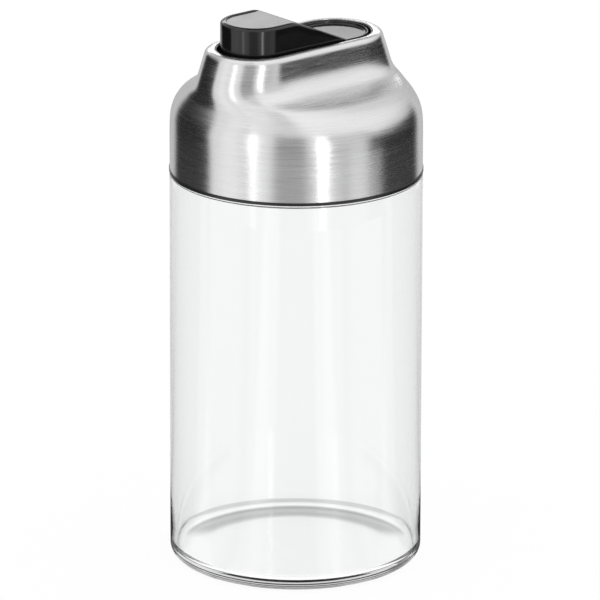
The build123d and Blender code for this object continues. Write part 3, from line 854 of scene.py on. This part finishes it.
# ------------------------------------------------------------------ carried-over CAD nodes get their finish
def finish_node(node, mat):
    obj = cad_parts[node]
    if not obj.data.materials:
        obj.data.materials.append(mat)
    for s in obj.material_slots:
        s.material = mat


for node, mat in (("tray_gasket", silicone), ("lid_screws", hardware), ("hinge_pin", hardware),
                  ("return_spring", hardware), ("flap_base", black_tray), ("flap_seal", silicone)):
    finish_node(node, mat)

# ------------------------------------------------------------------ floor
def floor_material(name, paints_reflections):
    """Pale lit floor: evenly bright to the eye; seen through the glass it has painted shadow rings round the jar's heel
    and painted light bands, and, when paints_reflections is set, painted lights and dark flags in reflections.
    """
    m, t, p = material(name)
    t.nodes.remove(p)
    lp = add(t, "ShaderNodeLightPath")
    cam_ray, through, mirror = lp.outputs["Is Camera Ray"], lp.outputs["Is Transmission Ray"], lp.outputs["Is Glossy Ray"]
    place = add(t, "ShaderNodeTexCoord")

    def along(vec):
        n = add(t, "ShaderNodeVectorMath", operation="DOT_PRODUCT")
        t.links.new(place.outputs["Object"], n.inputs[0])
        n.inputs[1].default_value = vec
        return n.outputs["Value"]

    beside = math_node(t, "ABSOLUTE", along(tuple(right)))
    behind = along(tuple(away))
    slant = math_node(t, "MULTIPLY_ADD", behind, -0.058, beside)
    reach = math_node(t, "SQRT", math_node(t, "ADD", math_node(t, "MULTIPLY", beside, beside), math_node(t, "MULTIPLY", behind, behind)))
    ahead = math_node(t, "ADD", behind, 0.003)
    reach_in = math_node(t, "SQRT", math_node(t, "ADD", math_node(t, "MULTIPLY", beside, beside), math_node(t, "MULTIPLY", ahead, ahead)))
    back_half = map_range(t, behind, 0.004, 0.014, 0, 1, True)
    # painted light: seen through the glass, the floor within the jar's footprint is brighter (1.08) than beside it
    # (0.91)
    clear = map_range(t, reach, 0.036, 0.039, 1.08, 0.91, True)
    # painted shadows, back half only: a ring under the jar's heel and a ring just outside its foot darken the floor as
    # seen through the glass
    for near, r0, r1, r2, r3, dim in ((reach_in, 0.0267, 0.0309, 0.0338, 0.0364, 0.54), (reach, 0.0392, 0.0402, 0.0425, 0.0438, 0.30)):
        shade = math_node(t, "MULTIPLY", map_range(t, near, r0, r1, 0, 1, True), map_range(t, reach, r2, r3, 1, 0, True))
        shade = math_node(t, "MULTIPLY", shade, back_half)
        clear = math_node(t, "MULTIPLY", clear, math_node(t, "MULTIPLY_ADD", shade, -dim, 1.0))
    # painted light: a band each side of the middle and a slanting band further out brighten the floor as seen through
    # the glass
    for span, a0, a1, a2, a3 in ((beside, 0.0060, 0.0080, 0.0130, 0.0150), (slant, 0.0245, 0.0265, 0.0305, 0.0325)):
        band = math_node(t, "MULTIPLY", map_range(t, span, a0, a1, 0, 1, True), map_range(t, span, a2, a3, 1, 0, True))
        clear = math_node(t, "MULTIPLY_ADD", band, 0.045, clear)
    if paints_reflections:
        # painted reflections: by angle round the jar, a lit band, a bright stripe, a dark flag and a lighter patch
        # behind stand in for the studio's lights and flags seen in reflections
        turn = math_node(t, "DEGREES", math_node(t, "ARCTAN2", along(tuple(right)), along(tuple(-away))))
        turn = math_node(t, "ABSOLUTE", turn)
        lit = math_node(t, "MULTIPLY", map_range(t, turn, 43, 52, 0, 1, True), map_range(t, turn, 77, 86, 1, 0, True))
        flag = math_node(t, "MULTIPLY", map_range(t, turn, 77, 86, 0, 1, True), map_range(t, turn, 138, 148, 1, 0, True))
        bright = math_node(t, "MULTIPLY_ADD", flag, -0.48, 0.5)
        bright = math_node(t, "MULTIPLY_ADD", lit, 0.5, bright)
        bright = math_node(t, "MULTIPLY_ADD", map_range(t, turn, 150, 162, 0, 1, True), 0.2, bright)
        band = math_node(t, "MULTIPLY", map_range(t, turn, 21, 26, 0, 1, True), map_range(t, turn, 38, 43, 1, 0, True))
        bright = math_node(t, "MULTIPLY_ADD", band, 0.5, bright)
    else:
        bright = 0.6
    level = math_node(t, "MULTIPLY_ADD", mirror, math_node(t, "SUBTRACT", bright, 0.8), 0.8)
    level = math_node(t, "MULTIPLY_ADD", through, math_node(t, "SUBTRACT", clear, level), level)
    level = math_node(t, "MULTIPLY_ADD", cam_ray, math_node(t, "SUBTRACT", 0.94, level), level)
    emit = add(t, "ShaderNodeEmission")
    t.links.new(level, emit.inputs["Strength"])
    diff = add(t, "ShaderNodeBsdfDiffuse")
    diff.inputs["Color"].default_value = (0.07, 0.07, 0.07, 1)
    both = add(t, "ShaderNodeAddShader")
    t.links.new(emit.outputs[0], both.inputs[0])
    t.links.new(diff.outputs[0], both.inputs[1])
    t.links.new(both.outputs[0], t.nodes["Material Output"].inputs[0])
    return m


NEAR = 0.395
near_ring = [(NEAR * math.cos(2 * math.pi * i / 96), NEAR * math.sin(2 * math.pi * i / 96), -0.0002) for i in range(96)]
far_ring = [(x / NEAR * 5, y / NEAR * 5, z) for x, y, z in near_ring]
near_mesh = bpy.data.meshes.new("floor_near")
near_mesh.from_pydata(near_ring, [], [tuple(range(96))])
far_mesh = bpy.data.meshes.new("floor_far")
far_mesh.from_pydata(near_ring + far_ring, [], [(i, (i + 1) % 96, 96 + (i + 1) % 96, 96 + i) for i in range(96)])
for mesh, paints_reflections in ((near_mesh, True), (far_mesh, False)):
    floor = bpy.data.objects.new(mesh.name, mesh)
    bpy.context.scene.collection.objects.link(floor)
    mesh.materials.append(floor_material(mesh.name, paints_reflections))
    floor.visible_glossy = paints_reflections

# tall bright card behind the jar, above what the glass can mirror; only reflections show it
card_mesh = bpy.data.meshes.new("card_behind")
card_mesh.from_pydata([tuple((away * 1.0 + right * w + Vector((0, 0, h)))) for w, h in
                       ((-0.36, 0.44), (0.36, 0.44), (0.36, 0.56), (-0.36, 0.56))], [], [(0, 1, 2, 3)])
card = bpy.data.objects.new("card_behind", card_mesh)
bpy.context.scene.collection.objects.link(card)
cm, ct, cp = material("card_behind")
ct.nodes.remove(cp)
ce = add(ct, "ShaderNodeEmission")
ce.inputs["Strength"].default_value = 2.9
ct.links.new(ce.outputs[0], ct.nodes["Material Output"].inputs[0])
card_mesh.materials.append(cm)
card.visible_camera = False
card.visible_transmission = False
card.visible_shadow = False
